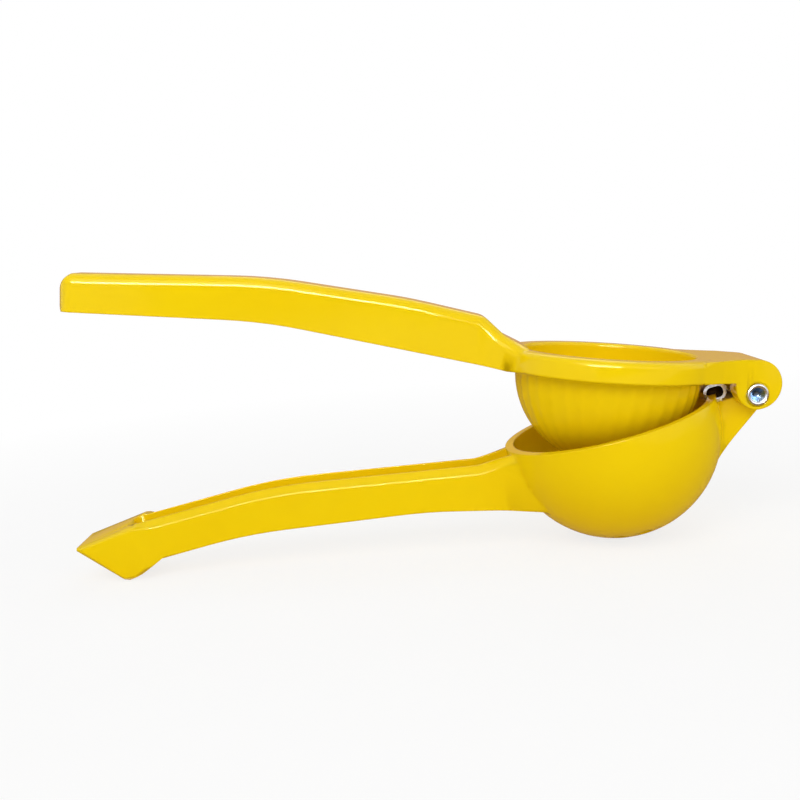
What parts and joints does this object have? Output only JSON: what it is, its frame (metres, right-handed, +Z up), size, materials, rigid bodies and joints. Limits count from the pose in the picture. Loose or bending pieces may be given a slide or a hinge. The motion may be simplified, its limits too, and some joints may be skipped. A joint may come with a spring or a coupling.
{
  "type": "hinged lemon squeezer",
  "caption": "Hand-held citrus squeezer: a pierced bowl lever and a fluted press lever with channel handles, joined by a rivet hinge.",
  "frame": {"origin": "centre of the bounding box on the floor, with the squeezer resting on its bowl and on the finger stop at the end of the lower handle, press lever lifted 19 degrees from shut", "axes": "+X from the handles to the hinge, +Y across the squeezer along the hinge rivet, +Z up"},
  "size_m": [0.2196, 0.0664, 0.096],
  "materials": {
    "yellow_enamel": "gloss",
    "rivet_steel": "polished",
    "strap_steel": "polished"
  },
  "bodies": {
    "bowl_side": {"bowl_lever": "yellow_enamel", "steel_strap": "strap_steel"},
    "press_side": {"press_lever": "yellow_enamel", "hinge_rivet": "rivet_steel"}
  },
  "joints": [
    {"name": "lever_hinge", "type": "hinge", "parent": "bowl_side", "child": "press_side", "pos_m": [0.10187, 0, 0.04307], "axis": [0, 1, 0], "range_deg": [-19, 101]}
  ]
}
